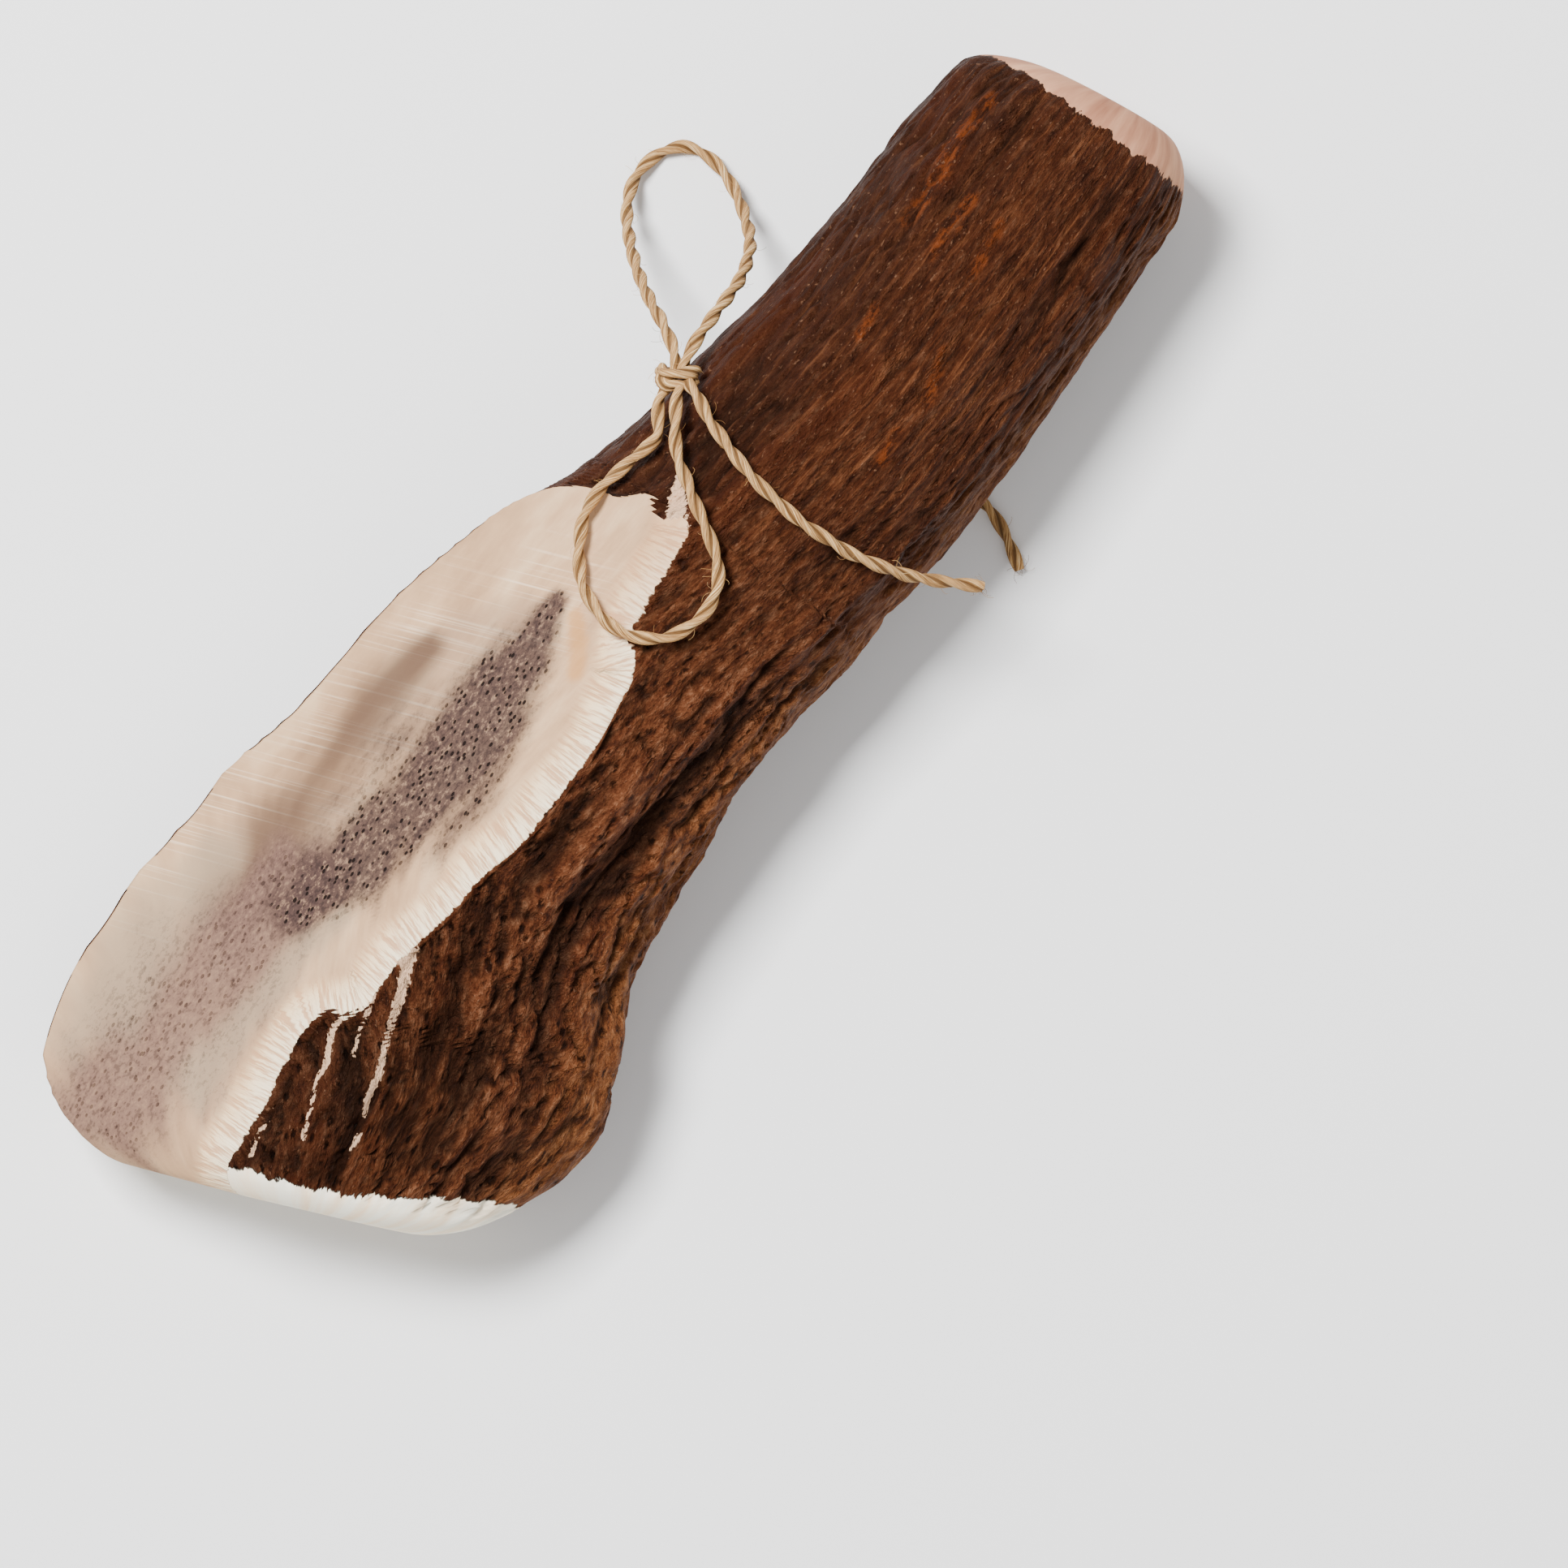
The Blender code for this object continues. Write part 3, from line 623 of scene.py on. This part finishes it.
class Section:
    """One cut across the beam, seen from a point inside what the split leaves."""

    SAMPLES, OUTLINE_SAMPLES = 360, 400
    LEAST_WINDOW = 4

    def __init__(self, row, distance, length):
        right, left = row[0:2], row[2:4]
        self.distance, self.length = distance, length
        self.half_width = np.linalg.norm(left - right) / 2.0
        self.across = (left - right) / (2.0 * self.half_width)
        self.widest, self.crown, self.under = row[4:7]
        middle = (right + left) / 2.0
        inward = EYE_SHARE_RIGHT * self.half_width
        self.eye = np.array((*(middle - inward * self.across), self.widest - EYE_DROP))
        self.inset = (grind_inset(distance, BUTT_GRIND_RADIUS)
                      + grind_inset(length - distance, TIP_GRIND_RADIUS))
        calm = smoothstep(0.0, 2.0 * BUTT_GRIND_RADIUS, min(distance, length - distance))
        self.angles = np.linspace(-0.5 * math.pi, 1.5 * math.pi, self.SAMPLES + 1)
        self.bark = self.bark_radii(inward, distance, calm) - self.inset
        self.split = self.split_radii() - self.inset

    def bark_radii(self, inward, distance, calm):
        """Distance from the eye to the bark, for every angle."""
        turns = np.linspace(0.0, 2.0 * math.pi, 4 * self.SAMPLES)
        fullness = np.where(np.sin(turns) > 0.0, CROWN_FULLNESS, UNDERSIDE_FULLNESS)
        side = np.sign(np.cos(turns)) * np.abs(np.cos(turns)) ** (2.0 / fullness)
        rise = np.sign(np.sin(turns)) * np.abs(np.sin(turns)) ** (2.0 / fullness)
        height = np.where(rise > 0.0, self.crown - self.widest, self.widest - self.under)
        sideways = side * self.half_width + inward
        upward = rise * height + EYE_DROP
        directions = np.unwrap(np.arctan2(upward, sideways))
        radii = np.interp(self.angles, directions, np.hypot(sideways, upward), period=2.0 * math.pi)
        relief = [bark_relief(distance, angle) for angle in self.angles]
        return radii + calm * np.array(relief)

    def split_radii(self):
        """Distance from the eye to the split plane, for every angle."""
        slope = SPLIT_SLOPE_X * self.across[0] + SPLIT_SLOPE_Y * self.across[1]
        facing = np.sin(self.angles) - np.cos(self.angles) * slope
        plane = SPLIT_HEIGHT + SPLIT_SLOPE_X * self.eye[0] + SPLIT_SLOPE_Y * self.eye[1]
        room = plane - self.eye[2]
        reach = room / np.maximum(facing, LEAST_FACING)
        return np.where(facing > LEAST_FACING, reach, OUT_OF_REACH)

    def window(self):
        """The angles between which the split has taken the bark away, or None."""
        cut = np.nonzero(self.split < self.bark)[0]
        if len(cut) < self.LEAST_WINDOW:
            return None
        return self.exact_angle(cut[0] - 1), self.exact_angle(cut[-1])

    def exact_angle(self, index):
        """Where bark and split cross, between one sample and the next."""
        gap, ahead = (self.split - self.bark)[index:index + 2]
        share = gap / (gap - ahead)
        return self.angles[index] + share * (self.angles[index + 1] - self.angles[index])

    def reach(self, angle):
        """Distance from the eye to what the split leaves."""
        outline = np.minimum(self.bark, self.split)
        return np.interp(angle, self.angles, outline, period=2.0 * math.pi)

    def places(self, angles, reach):
        """Points at some angles and reaches."""
        flat = self.eye[0:2] + np.outer(reach * np.cos(angles), self.across)
        return np.column_stack((flat, self.eye[2] + reach * np.sin(angles)))

    def spaced(self, start, end, count):
        """Angles from start up to end that stand evenly along the outline, without end itself."""
        turn = np.linspace(start, end, self.OUTLINE_SAMPLES)
        reach = self.reach(turn)
        steps = np.hypot(np.diff(reach * np.cos(turn)), np.diff(reach * np.sin(turn)))
        run = np.concatenate(([0.0], np.cumsum(steps)))
        return np.interp(np.linspace(0.0, run[-1], count + 1)[:-1], run, turn)


def eased_rows(rows, neighbours):
    """Rows smoothed over an odd number of neighbours, with their ends held."""
    kernel = np.hanning(neighbours) / np.hanning(neighbours).sum()
    held = neighbours // 2
    padded = np.pad(np.array(rows), ((held, held), (0, 0)), mode="edge")
    return np.column_stack([np.convolve(column, kernel, "valid") for column in padded.T])


def split_windows(sections, distances):
    """One window for each ring, eased along the beam; past the split it opens again."""
    windows = [section.window() for section in sections]
    last = max(index for index, window in enumerate(windows) if window is not None)
    middle = sum(windows[last]) / 2.0
    for index in range(last + 1, len(windows)):
        past = smoothstep(0.0, REOPENS_OVER, distances[index] - distances[last])
        half = CLOSED_HALF + REOPENED_GAIN * past
        windows[index] = (middle - half, middle + half)
    return list(eased_rows(windows[:last + 1], WINDOW_EASED_OVER)) + windows[last + 1:]


# Marks on the antler: how far their edges waver and over what size, where they fade, and
# lines through places in plan with the mark's half width there
MARKS = {
    "marrow": (0.45, 4.0, 1.5, 0.45, (
        ((-1.4, 9.8, 1.5), (-9.8, 9.3, 3.6), (-18.4, 9.2, 5.4), (-26.4, 9.2, 6.8),
         (-34.7, 10.2, 6.6), (-42.7, 12.2, 5.6), (-50.6, 14.4, 3.8)),
    )),
    "low_marrow": (0.5, 5.0, 1.6, 0.5, (
        ((-47.8, 16.5, 4.6), (-64.3, 17.4, 7.6), (-74.9, 18.2, 8.5), (-84.7, 19.7, 8.0),
         (-90.9, 21.4, 7.0)),
    )),
    "inner": (0.4, 5.0, 1.3, 0.4, (
        ((-4.0, 12.0, 2.5), (-12.0, 14.5, 5.5), (-20.0, 17.0, 7.0), (-27.0, 19.5, 5.5)),
        ((-42.0, 17.5, 7.0), (-60.0, 18.5, 11.5), (-88.0, 21.0, 12.0)),
    )),
    "streak": (0.45, 4.0, 2.1, 0.0, (
        ((-15.0, 19.5, 1.5), (-19.0, 20.5, 2.6), (-25.0, 21.8, 3.2), (-32.0, 21.6, 3.2),
         (-40.9, 21.2, 3.4), (-48.5, 20.6, 4.0), (-55.9, 20.9, 4.2)),
    )),
    "green": (0.6, 5.0, 1.8, 0.2, (
        ((-51.4, 26.6, 2.5), (-62.0, 27.6, 4.0), (-70.9, 27.9, 4.5), (-80.3, 27.3, 3.5)),
        ((-48.0, 8.6, 1.0), (-54.5, 10.2, 1.5), (-63.5, 10.6, 2.0), (-75.4, 11.4, 2.2)),
    )),
    "sawn": (0.5, 6.0, 1.4, 0.3, (
        ((-2.0, 12.0, 7.0), (-16.0, 18.0, 9.0), (-34.0, 21.0, 8.0), (-60.0, 30.0, 6.0)),
    )),
    "stain": (0.4, 2.0, 1.5, 0.4, (
        ((-1.4, 7.2, 1.0), (-3.6, 5.0, 1.2), (-7.0, 3.0, 1.0)),
    )),
    "scrape": (0.0, 1.0, 0.0, 1.0, (
        ((-47.5, 0.6, 0.8), (-50.5, 1.3, 0.45), (-53.5, 1.6, 0.2)),
        ((-57.6, 1.5, 0.3), (-59.9, 1.4, 0.42), (-63.3, -0.3, 0.36), (-65.9, -0.6, 0.24),
         (-69.5, -2.2, 0.24), (-72.6, -3.4, 0.34)),
        ((-49.8, 1.1, 0.7), (-52.6, 0.0, 0.3), (-56.1, -1.0, 0.3), (-57.9, -1.3, 0.2),
         (-60.9, -2.4, 0.3)),
        ((-46.4, -0.5, 1.0), (-51.2, -2.8, 0.55), (-56.4, -4.4, 0.42), (-60.8, -6.3, 0.45),
         (-64.4, -7.0, 0.34), (-66.1, -7.8, 0.3)),
        ((-68.3, -8.6, 0.36), (-70.1, -9.0, 0.28), (-71.5, -9.2, 0.14)),
        ((-71.6, 2.3, 0.45), (-73.8, 1.5, 0.36), (-75.9, 1.2, 0.26), (-78.2, 0.5, 0.28)),
        ((14.5, 3.6, 1.3), (17.5, 5.4, 1.0), (20.8, 7.3, 0.35)),
    )),
    "rust": (0.3, 3.0, 1.4, 0.4, (
        ((79.5, 3.0, 0.9), (75.9, 3.2, 1.2), (71.1, 3.4, 1.2), (67.8, 2.7, 1.0), (61.1, 2.6, 0.8)),
        ((67.8, -2.1, 0.9), (64.2, -2.2, 1.2), (59.2, -2.2, 0.7)),
        ((67.5, -6.8, 0.7), (63.5, -7.4, 0.9), (60.0, -7.8, 0.5)),
        ((50.5, -0.4, 0.6), (46.5, -1.0, 0.8)), ((39.5, -11.4, 0.6), (35.5, -12.0, 0.8)),
        ((50.9, -10.3, 0.8), (44.8, -12.2, 0.8)),
    )),
}


def share_of_marks(points, lines):
    """How far each point is in plan from some lines through marks, over the lines' half width."""
    nearest = np.full(len(points), OUT_OF_REACH)
    for line in lines:
        marks = np.array(line)
        for start, end in zip(marks, marks[1:]):
            along = (end - start)[0:2]
            share = np.clip((points[:, 0:2] - start[0:2]) @ along / (along @ along), 0.0, 1.0)
            foot = start + share[:, None] * (end - start)
            away = np.linalg.norm(points[:, 0:2] - foot[:, 0:2], axis=1)
            nearest = np.minimum(nearest, away / foot[:, 2])
    return nearest


def soft_noise(points, size, shift):
    """Noise drawn out along the beam, from about -1 to 1; shift picks one of many."""
    scale = np.array((NOISE_DRAWN_OUT, 1.0, 1.0)) / size
    apart = Vector((0.0, 0.0, NOISE_APART * shift))
    return np.array([noise.fractal(Vector(point * scale) + apart, NOISE_FALL, NOISE_FINER,
                                   NOISE_LAYERS) for point in points])


def end_distances(distance, angles, length):
    """How far inside the ground margins a ring is; both are wider towards the right flank."""
    butt = BUTT_MARGIN + BUTT_MARGIN_GAIN * smoothstep(1.7, 2.9, angles)
    tip = TIP_MARGIN + TIP_MARGIN_GAIN * smoothstep(0.7, 1.7, angles)
    return np.minimum(distance - butt, length - distance - tip)


def along_edge(points, crown_edge):
    """Distance to the split's edge on the crown, and how far along it the nearest place is."""
    smooth = eased_rows(crown_edge, EDGE_EASED_OVER)
    runs = np.concatenate(([0.0], np.cumsum(np.linalg.norm(np.diff(smooth, axis=0), axis=1))))
    dense = np.arange(0.0, runs[-1], EDGE_STEP)
    line = np.column_stack([np.interp(dense, runs, smooth[:, axis]) for axis in range(3)])
    tree = kdtree.KDTree(len(line))
    for index, place in enumerate(line):
        tree.insert(place, index)
    tree.balance()
    found = [tree.find(point) for point in points]
    return np.array([item[2] for item in found]), np.array([dense[item[1]] for item in found])


def joined_rings(order, sides):
    """Faces between rings of points, each joined to the next, with a face at each end."""
    faces = []
    for here, ahead in zip(order, order[1:]):
        for side in range(sides):
            after = (side + 1) % sides
            faces.append((here * sides + side, here * sides + after,
                          ahead * sides + after, ahead * sides + side))
    faces.append([order[0] * sides + side for side in reversed(range(sides))])
    faces.append([order[-1] * sides + side for side in range(sides)])
    return faces


def beam_rings(distances, length):
    """Rings along the beam, then those that close its ends, and the split's edge on the crown.

    A ring is its points, and for each point its place in the grain, the bark's relief, how much
    the split took off, how deep it is in an end face, and how far inside the ground margins.
    """
    knots, rows = section_distances(), np.array(BEAM_SECTIONS)
    sections = [Section(curve_through(knots, rows, at), at, length) for at in distances]
    sides = SPLIT_SIDES + BARK_SIDES
    rings, crown_edge = [], []
    for section, (start, end) in zip(sections, split_windows(sections, distances)):
        angles = np.concatenate((section.spaced(start, end, SPLIT_SIDES),
                                 section.spaced(end, start + 2.0 * math.pi, BARK_SIDES)))
        gap = np.interp(angles, section.angles, section.bark - section.split,
                        period=2.0 * math.pi)
        relief = np.array([fine_relief(section.distance, angle, length) for angle in angles])
        relief *= smoothstep(0.0, 0.5, -gap)
        flutes = [bark_relief(section.distance, angle) for angle in angles]
        rings.append((section.places(angles, section.reach(angles) + relief),
                      [grain_place(section.distance, angle) for angle in angles],
                      relief + VALLEY_SHARE * np.minimum(flutes, 0.0), gap, np.zeros(sides),
                      end_distances(section.distance, angles, length)))
        window = section.window()
        if window is not None:
            edge_angle = np.array([window[1]])
            crown_edge.append(section.places(edge_angle, section.reach(edge_angle))[0])
    for ring, grain, *_ in (rings[0], rings[-1]):
        middle = ring.mean(axis=0)
        for step in range(1, END_RINGS + 1):
            share = 1.0 - step / (END_RINGS + 1.0)
            rings.append((middle + (ring - middle) * share, grain, np.zeros(sides),
                          np.full(sides, DEEP_IN_BARK),
                          np.linalg.norm(ring - middle, axis=1) * (1.0 - share),
                          np.full(sides, -BUTT_MARGIN)))
    return rings, np.array(crown_edge)


def beam_mesh(name):
    """The whole surface, with what its material needs to know stored on its points."""
    length = section_distances()[-1]
    distances = station_distances(length)
    stations = len(distances)
    rings, crown_edge = beam_rings(distances, length)
    places, grain, relief, gap, core, to_end = [np.concatenate(rows) for rows in zip(*rings)]
    edge, run = along_edge(places, crown_edge)
    middle = (places.min(axis=0) + places.max(axis=0)) / 2.0
    places = places - np.array((middle[0], middle[1], places[:, 2].min()))
    places[:, 2] *= smoothstep(WORN_BELOW, WHOLE_ABOVE, places[:, 2])
    order = [*range(stations + END_RINGS - 1, stations - 1, -1), *range(stations),
             *range(stations + END_RINGS, stations + 2 * END_RINGS)]
    mesh = bpy.data.meshes.new(name)
    mesh.from_pydata((places * MM).tolist(), [], joined_rings(order, SPLIT_SIDES + BARK_SIDES))
    mesh.shade_smooth()
    rind = edge * np.where(gap > LEAST_CUT, 1.0, -1.0)
    rim = rind + RIM_WAVER * soft_noise(grain, 5.0, 2.0)
    core += CORE_WAVER * soft_noise(places, 3.0, 4.0)
    for layer, values in (
            ("spot", places), ("grain", grain), ("relief", relief), ("edge_run", run),
            ("rind", rind + RIND_WAVER * soft_noise(grain, 4.0, 1.0)),
            ("rim", smoothstep(RIM_FADES_TO, RIM_FADES_FROM, rim)),
            ("white_rim", smoothstep(WHITE_RIM_END, WHITE_RIM_FADES_FROM, run)),
            ("rust_patch", smoothstep(0.0, 0.4, soft_noise(grain, 9.0, 3.0))),
            ("core", smoothstep(CORE_DEPTH_FROM, CORE_DEPTH_TO, core)),
            ("saw_line", places @ np.array(SAW_AXES).T), ("to_end", to_end)):
        store(mesh, layer, values)
    for mark, (waver, size, low, high, lines) in MARKS.items():
        share = share_of_marks(places, lines) + waver * soft_noise(grain, size, len(mark))
        store(mesh, mark, share if mark == "scrape" else smoothstep(low, high, share))
    return mesh


def bark_colour(made, grain, mottle, speck):
    """Brown bark, rusty in places, with painted shade in its creases, its pits and on its left side,
    painted light on its right flank, and pale flecks painted as highlights.
    """
    base = made.bands(mottle, ((0.32, (40, 18, 10)), (0.45, (74, 38, 21)), (0.56, (98, 57, 35)),
                               (0.70, (132, 90, 64))))
    fibre = made.noise(grain, (0.10, 1.3, 1.3), detail=4.0, roughness=0.65, shift=(3.0, 0.0, 0.0))
    # Lighter bark, laid on the right flank as painted light
    flank = made.bands(mottle, ((0.32, (48, 24, 11)), (0.45, (100, 57, 29)), (0.56, (134, 84, 48)),
                                (0.70, (166, 116, 76))))
    smooth = made.bands(fibre, ((0.34, (18, 7, 3)), (0.45, (38, 16, 7)), (0.56, (62, 30, 15)),
                                (0.70, (110, 68, 42))))
    place = made.node("ShaderNodeSeparateXYZ", {"Vector": grain}).outputs
    upper = made.between(place["X"], 70.0, 120.0)
    colour = made.tinted(base, smooth, upper, 0.68)
    # Painted light: the right flank is made lighter and more orange
    painted_light_on_flank = made.between(place["Y"], -15.0, -23.0)
    colour = made.tinted(colour, flank, painted_light_on_flank, 0.7)
    # Painted shade: the left side of the bark is made darker
    painted_shade_on_left = made.between(place["Y"], 2.0, 20.0)
    colour = made.tinted(colour, (34, 16, 8), painted_shade_on_left, 0.6)
    colour = made.tinted(colour, (74, 30, 12), made.attribute("rust_patch"), 0.18)
    streaks = made.times(made.attribute("rust"), made.between(mottle, 0.44, 0.60))
    colour = made.tinted(colour, (108, 50, 18), streaks, 0.7)
    # Painted highlights: small pale flecks on the bark
    colour = made.tinted(colour, (130, 94, 70), made.between(speck, 0.62, 0.74), 0.45)
    # Painted shade in the bark's pits, less on the smoother upper end
    pit = made.between(made.cells(grain, (0.36, 0.62, 0.62)), 0.34, 0.12)
    pit = made.times(pit, made.between(mottle, 0.56, 0.44))
    pit = made.times(pit, made.sums("MULTIPLY_ADD", upper, -0.85, 1.0))
    colour = made.tinted(colour, (12, 6, 4), pit, 0.8)
    # Painted shade in the bark's creases, darkest where the relief is deepest
    crease = made.between(made.attribute("relief"), -0.5, -1.7)
    return made.tinted(colour, (16, 8, 4), crease, 0.8), pit


def cut_colour(made, cloud, spot, grit, rib_place):
    """The split face, beige round a grey porous core in a ribbed rim; its ribs, and painted shade in
    its pores.
    """
    colour = made.bands(cloud, ((0.30, (168, 132, 100)), (0.5, (192, 154, 118)),
                                (0.70, (212, 178, 140))))
    saw = made.noise(made.attribute("saw_line", "Vector"), (0.025, 2.0, 0.0), detail=2.0,
                     roughness=0.7)
    sawn = made.times(made.attribute("sawn"), made.between(saw, 0.52, 0.66))
    colour = made.tinted(colour, (238, 214, 184), sawn, 0.5)
    for name, strength, tone in (("inner", 0.5, (142, 116, 95)), ("streak", 0.85, (84, 62, 50)),
                                 ("low_marrow", 0.8, (106, 80, 72)),
                                 ("marrow", 0.95, (70, 53, 49)), ("green", 0.6, (156, 136, 112)),
                                 ("stain", 0.6, (186, 128, 66))):
        colour = made.tinted(colour, tone, made.attribute(name), strength)
    porous = made.sums("MAXIMUM", made.attribute("marrow"),
                       made.times(made.attribute("low_marrow"), 0.65))
    dark_grit = made.times(made.between(grit, 0.50, 0.38), porous)
    colour = made.tinted(colour, (48, 37, 35), dark_grit, 0.7)
    pale_grit = made.times(made.between(grit, 0.53, 0.66), porous)
    colour = made.tinted(colour, (150, 120, 96), pale_grit, 0.6)
    # Painted shade in the core's pores: almost black
    hole = made.between(made.cells(spot, (0.8, 1.35, 1.35)), 0.30, 0.16)
    pores = made.times(hole, made.between(porous, 0.35, 0.95))
    colour = made.blend(pores, colour, (26, 17, 15))
    across = made.sums("DIVIDE", made.attribute("rind"), 7.0)
    white = made.bands(across, ((0.0, (247, 232, 200)), (0.55, (240, 208, 164)),
                                (0.9, (208, 164, 120))))
    tan = made.bands(across, ((0.0, (214, 172, 132)), (0.9, (190, 142, 100))))
    rim_tone = made.blend(made.attribute("white_rim"), tan, white)
    ribs = made.noise(rib_place, (2.3, 0.16, 1.0), detail=2.0, roughness=0.7)
    rim_tone = made.tinted(rim_tone, (188, 138, 100), made.between(ribs, 0.57, 0.38), 0.8)
    rim = made.attribute("rim")
    return made.blend(rim, colour, rim_tone), pores, made.times(ribs, rim)


def antler_material():
    """Bark, sawn and ground surfaces, told apart by what the mesh stores."""
    made = Shading("antler")
    made.shader.inputs["Specular IOR Level"].default_value = 0.05
    grain, spot = made.attribute("grain", "Vector"), made.attribute("spot", "Vector")
    rind = made.attribute("rind")
    rib_place = made.node("ShaderNodeCombineXYZ", {"X": made.attribute("edge_run"), "Y": rind})
    mottle = made.noise(grain, (0.44, 0.95, 0.95), detail=5.0, roughness=0.74)
    speck = made.noise(grain, (1.2, 2.0, 2.0), detail=2.0, roughness=0.7, shift=(0.0, 0.0, 7.0))
    cloud = made.noise(grain, (0.07, 0.22, 0.22), detail=4.0, roughness=0.62)
    grit = made.noise(spot, (1.0, 1.5, 1.5), detail=3.0, roughness=0.75)
    bark, pit = bark_colour(made, grain, mottle, speck)
    cut, pores, ribbing = cut_colour(made, cloud, spot, grit, rib_place)
    teeth = made.noise(rib_place, (1.1, 0.15, 1.0), detail=2.0, roughness=0.6)
    ragged = made.sums("MULTIPLY_ADD", teeth, 1.5, -0.75)
    on_cut = made.between(made.sums("ADD", rind, ragged), -0.05, 0.10)
    end_teeth = made.noise(grain, (0.3, 0.4, 0.4), detail=3.0, roughness=0.75)
    ends = made.sums("ADD", made.attribute("to_end"),
                     made.sums("MULTIPLY_ADD", end_teeth, 3.0, -1.5))
    on_bark = made.between(ends, -0.12, 0.12)
    place = made.node("ShaderNodeSeparateXYZ", {"Vector": grain}).outputs
    at_tip = made.between(place["X"], 80.0, 100.0)
    butt_tone = made.bands(cloud, ((0.3, (244, 216, 180)), (0.6, (248, 242, 222))))
    tip_tone = made.bands(cloud, ((0.3, (146, 96, 74)), (0.5, (178, 128, 100)),
                                  (0.7, (200, 152, 120))))
    ground = made.blend(at_tip, butt_tone, tip_tone)
    core_tone = made.bands(grit, ((0.36, (42, 32, 30)), (0.48, (110, 88, 78)),
                                  (0.64, (190, 158, 132))))
    ground = made.blend(made.attribute("core"), ground, core_tone)
    colour = made.blend(on_bark, ground, bark)
    scrape = made.between(made.sums("MULTIPLY_ADD", speck, 2.4, made.attribute("scrape")),
                          2.35, 2.05)
    colour = made.blend(scrape, colour, (220, 180, 146))
    colour = made.blend(on_cut, colour, cut)
    made.feed(made.shader.inputs["Base Color"], colour)
    rough_bark = made.times(on_bark, made.sums("SUBTRACT", 1.0, on_cut))
    made.feed(made.shader.inputs["Roughness"], made.sums("MULTIPLY_ADD", rough_bark, -0.15, 0.7))
    height = made.sums("ADD", mottle, made.times(speck, 0.6))
    height = made.times(made.sums("MULTIPLY_ADD", pit, -0.5, height), rough_bark)
    dents = made.sums("MULTIPLY_ADD", pores, -0.3, made.times(ribbing, 0.35))
    height = made.sums("MULTIPLY_ADD", dents, on_cut, height)
    made.feed(made.shader.inputs["Normal"], made.bump(height, 0.95 * MM))
    return made.material


beam = in_scene("grown_beam", beam_mesh("grown_beam"))
beam.data.materials.append(antler_material())
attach(beam, "root")
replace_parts(beam, "antler")


# Floor and light
# A plain pale table, lit softly from the picture's upper left, as the photograph's shadow shows.
TABLE_REACH = 2.5
TABLE_WHITE = 0.93
KEY_PLACE, KEY_SIZE, KEY_POWER = (0.07, 0.47, 1.0), 0.32, 31.0
FILL_PLACE, FILL_SIZE, FILL_POWER = (-0.5, -0.7, 0.9), 0.9, 3.0
ROOM_LIGHT = 0.55


def build_table():
    """The table that everything lies on."""
    mesh = bpy.data.meshes.new("table")
    corners = [(TABLE_REACH * x, TABLE_REACH * y, 0.0) for x, y in ((-1, -1), (1, -1), (1, 1), (-1, 1))]
    mesh.from_pydata(corners, [], [(0, 1, 2, 3)])
    table = in_scene("table", mesh)
    material = bpy.data.materials.new("table")
    material.use_nodes = True
    shader = material.node_tree.nodes["Principled BSDF"]
    shader.inputs["Base Color"].default_value = (TABLE_WHITE, TABLE_WHITE, TABLE_WHITE, 1.0)
    shader.inputs["Roughness"].default_value = 0.9
    mesh.materials.append(material)


def area_light(name, place, size, power):
    """A soft box that faces the antler."""
    light = bpy.data.lights.new(name, "AREA")
    light.shape = "SQUARE"
    light.size = size
    light.energy = power
    holder = in_scene(name, light)
    holder.location = place
    holder.rotation_euler = (-Vector(place)).to_track_quat("-Z", "Y").to_euler()


build_table()
area_light("key", KEY_PLACE, KEY_SIZE, KEY_POWER)
area_light("fill", FILL_PLACE, FILL_SIZE, FILL_POWER)
world = bpy.data.worlds.new("studio")
world.use_nodes = True
sky = world.node_tree.nodes["Background"].inputs
sky["Color"].default_value = (1.0, 1.0, 1.0, 1.0)
sky["Strength"].default_value = ROOM_LIGHT
bpy.context.scene.world = world
